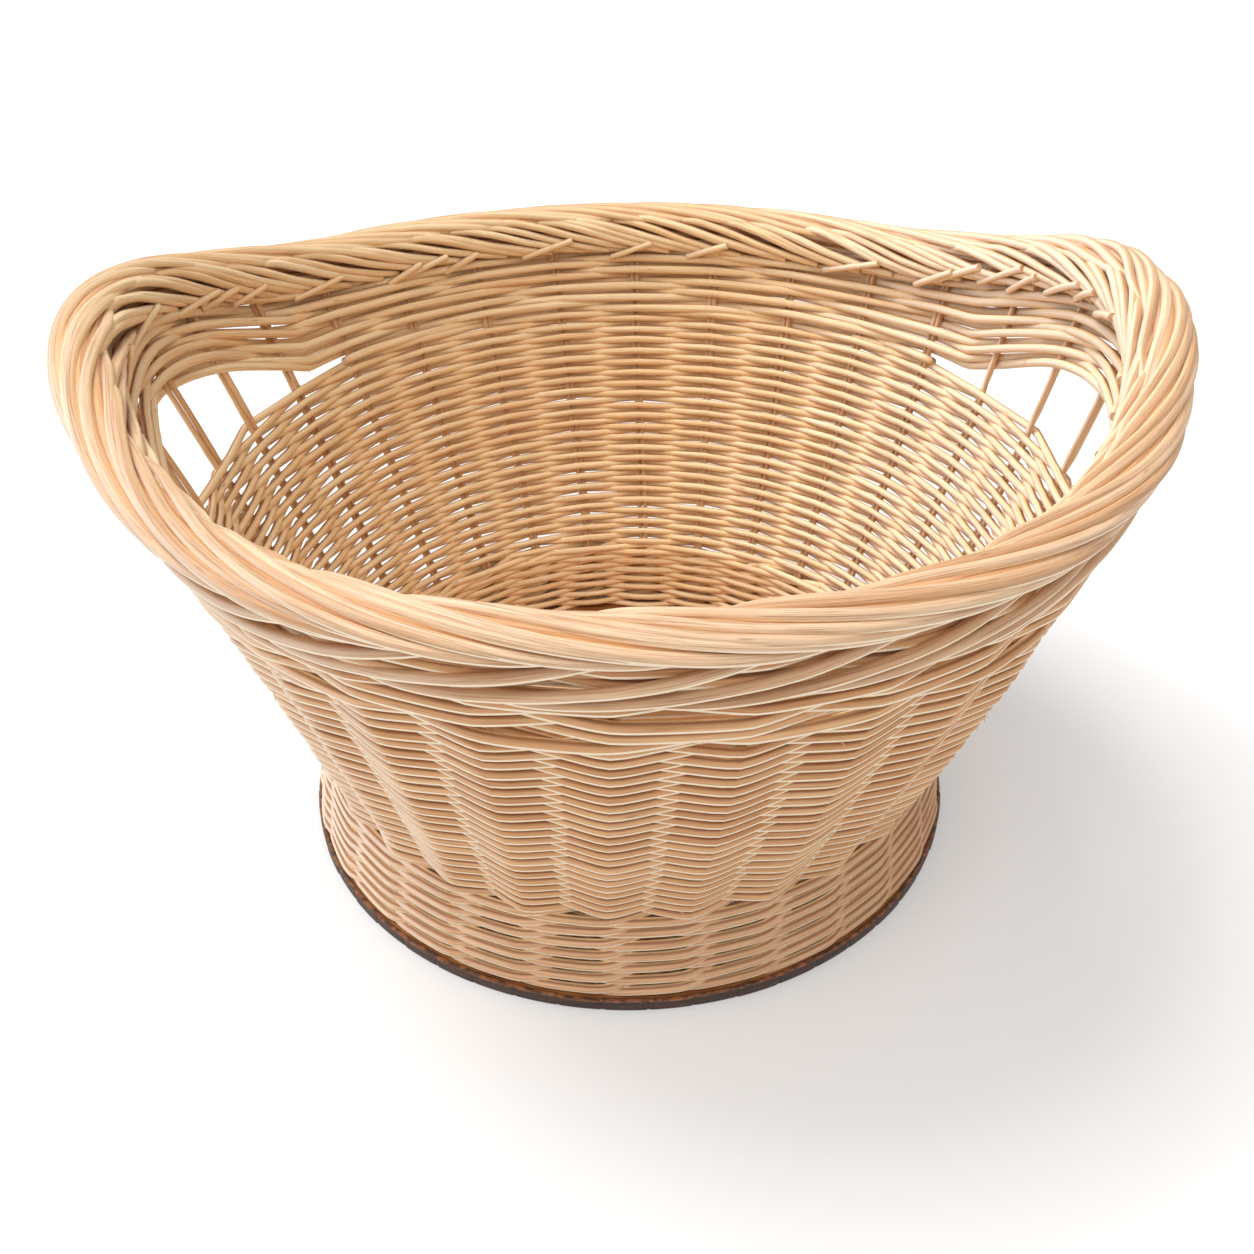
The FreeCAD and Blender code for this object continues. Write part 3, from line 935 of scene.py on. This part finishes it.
def lathe(profile_at, count):
    """A closed ring: profile_at(angle) gives the section's (radius, height) points."""
    points, faces = [], []
    for step in range(count):
        angle = 2 * math.pi * step / count
        section = profile_at(angle)
        for radius, level in section:
            points.append((radius * math.cos(angle), radius * math.sin(angle), level))
        for corner in range(len(section)):
            here = step * len(section)
            there = (step + 1) % count * len(section)
            after = (corner + 1) % len(section)
            faces.append((here + corner, there + corner, there + after, here + after))
    return points, faces


BAND_THICK = 2.5 * MM
STRIPS = 52
RIPPLES = 720
band_ripple = softened(dice.normal(0, 1, RIPPLES), 5, True)
strip_lift = dice.normal(0, 1, STRIPS)


def band_section(angle):
    """The band's section: thin strips, each a little proud or shy, with a torn top."""
    place = angle / (2 * math.pi) * STRIPS
    strip = int(place) % STRIPS
    seam = math.exp(-((place - int(place) - 0.5) / 0.49) ** 24)
    ripple = band_ripple[int(angle / (2 * math.pi) * RIPPLES) % RIPPLES]
    outer = BOARD_RADIUS - 0.25 * MM + strip_lift[strip] * 0.12 * MM - 0.5 * MM * (1 - seam)
    top = BOARD_TOP - 0.1 * MM + ripple * 0.35 * MM + strip_lift[strip - 7] * 0.15 * MM
    inner = BOARD_RADIUS - BAND_THICK + 0.05 * MM
    return [(inner, 0.1 * MM), (outer - 0.3 * MM, 0.1 * MM), (outer, 0.5 * MM),
            (outer + 0.1 * MM, top * 0.5), (outer, top - 0.5 * MM), (outer - 0.5 * MM, top),
            (inner + 0.6 * MM, top), (inner, top - 0.4 * MM)]


band_points, band_faces = lathe(band_section, 2 * RIPPLES)
band_mesh = bpy.data.meshes.new("bark_band")
band_mesh.from_pydata(band_points, [], band_faces)
finish_piece("bark_band", band_mesh, bark(), "edge_band", "edge_band")

# %% [markdown]
# ## Camera
#
# The camera stands in front of the basket and looks down on it from close by, which is why
# the front of the rim looks so much larger than the back. It is placed round a point in the
# middle of the basket by a distance and two angles.

# %% Camera
CAMERA_DISTANCE = 0.6263
CAMERA_HEIGHT_ANGLE = math.radians(34.93)
CAMERA_SIDE_ANGLE = math.radians(2.59)
CAMERA_ROLL = math.radians(-0.39)
CAMERA_LENS = 35.74
target = Vector((-0.7 * MM, 0, 88.9 * MM))

sight = Vector((math.cos(CAMERA_HEIGHT_ANGLE) * math.sin(CAMERA_SIDE_ANGLE),
                math.cos(CAMERA_HEIGHT_ANGLE) * math.cos(CAMERA_SIDE_ANGLE),
                -math.sin(CAMERA_HEIGHT_ANGLE)))
right = sight.cross(Vector((0, 0, 1))).normalized()
above = right.cross(sight)
tilted_right = right * math.cos(CAMERA_ROLL) + above * math.sin(CAMERA_ROLL)
tilted_above = tilted_right.cross(sight)
stand = target - sight * CAMERA_DISTANCE

lens = bpy.data.cameras.new("camera")
lens.sensor_width = 36
lens.lens = CAMERA_LENS
camera = bpy.data.objects.new("camera", lens)
axes = Matrix((tilted_right, tilted_above, -sight)).transposed()
camera.matrix_world = Matrix.Translation(stand) @ axes.to_4x4()
bpy.context.scene.collection.objects.link(camera)
bpy.context.scene.camera = camera
print("camera stands at", [round(c, 3) for c in stand])

# %% [markdown]
# ## Floor and light
#
# A white floor, an even white surround and three large soft lamps. One stands high and a
# little behind: the wide rim then throws the shadow under the front. The second stands high
# in front and lights the inside. The third is low on the left, so that the left outside and
# the right inside are bright. For the camera the floor gives off a little white of its own,
# which lifts it to the white of the background but leaves the shadow close to the basket.
# The surround too is white to the camera, and dimmer as a light.

# %% Floor, world and lamps
FLOOR = 12.0
FLOOR_COLOUR = (0.70, 0.70, 0.70, 1)
FLOOR_GLOW = 0.20
SURROUND_LIGHT = 0.42


def seen(tree):
    """1 for what is looked at straight, in a reflection or through glass."""
    paths = tree.nodes.new("ShaderNodeLightPath")
    total = paths.outputs["Is Camera Ray"]
    for way in ("Is Glossy Ray", "Is Transmission Ray"):
        more = tree.nodes.new("ShaderNodeMath")
        tree.links.new(total, more.inputs[0])
        tree.links.new(paths.outputs[way], more.inputs[1])
        total = more.outputs[0]
    return total


floor_mesh = bpy.data.meshes.new("floor")
floor_mesh.from_pydata([(-FLOOR, -FLOOR, 0), (FLOOR, -FLOOR, 0), (FLOOR, FLOOR, 0),
                        (-FLOOR, FLOOR, 0)], [], [(0, 1, 2, 3)])
floor = bpy.data.objects.new("floor", floor_mesh)
bpy.context.scene.collection.objects.link(floor)
floor_paint = Recipe("floor_paint")
floor_paint.shader.inputs["Base Color"].default_value = FLOOR_COLOUR
floor_paint.shader.inputs["Emission Color"].default_value = (1, 1, 1, 1)
glow = floor_paint.ramp(seen(floor_paint.tree), 0, 1, 0, FLOOR_GLOW)
floor_paint.link(glow, floor_paint.shader.inputs["Emission Strength"])
floor_paint.shader.inputs["Roughness"].default_value = 0.9
floor_paint.shader.inputs["Specular IOR Level"].default_value = 0.0
floor_mesh.materials.append(floor_paint.material)

world = bpy.data.worlds.new("surround")
bpy.context.scene.world = world
world.use_nodes = True
surround = world.node_tree.nodes["Background"]
surround.inputs["Color"].default_value = (1, 1, 1, 1)
white = world.node_tree.nodes.new("ShaderNodeMapRange")
white.inputs["To Min"].default_value = SURROUND_LIGHT
white.inputs["To Max"].default_value = 1.0
world.node_tree.links.new(seen(world.node_tree), white.inputs["Value"])
world.node_tree.links.new(white.outputs["Result"], surround.inputs["Strength"])


def soft_lamp(name, towards, strength, spread):
    """A large, far lamp: towards points from the basket to it, spread is its width in degrees."""
    lamp = bpy.data.lights.new(name, "SUN")
    lamp.energy = strength
    lamp.angle = math.radians(spread)
    stand_in = bpy.data.objects.new(name, lamp)
    stand_in.rotation_euler = Vector(towards).to_track_quat("Z", "Y").to_euler()
    bpy.context.scene.collection.objects.link(stand_in)


soft_lamp("top_lamp", (-0.34, 0.22, 0.91), 1.9, 30)
soft_lamp("front_lamp", (0.05, -0.58, 0.81), 0.95, 50)
soft_lamp("left_lamp", (-0.82, 0.05, 0.57), 1.2, 70)

bpy.context.scene.view_settings.view_transform = "Standard"
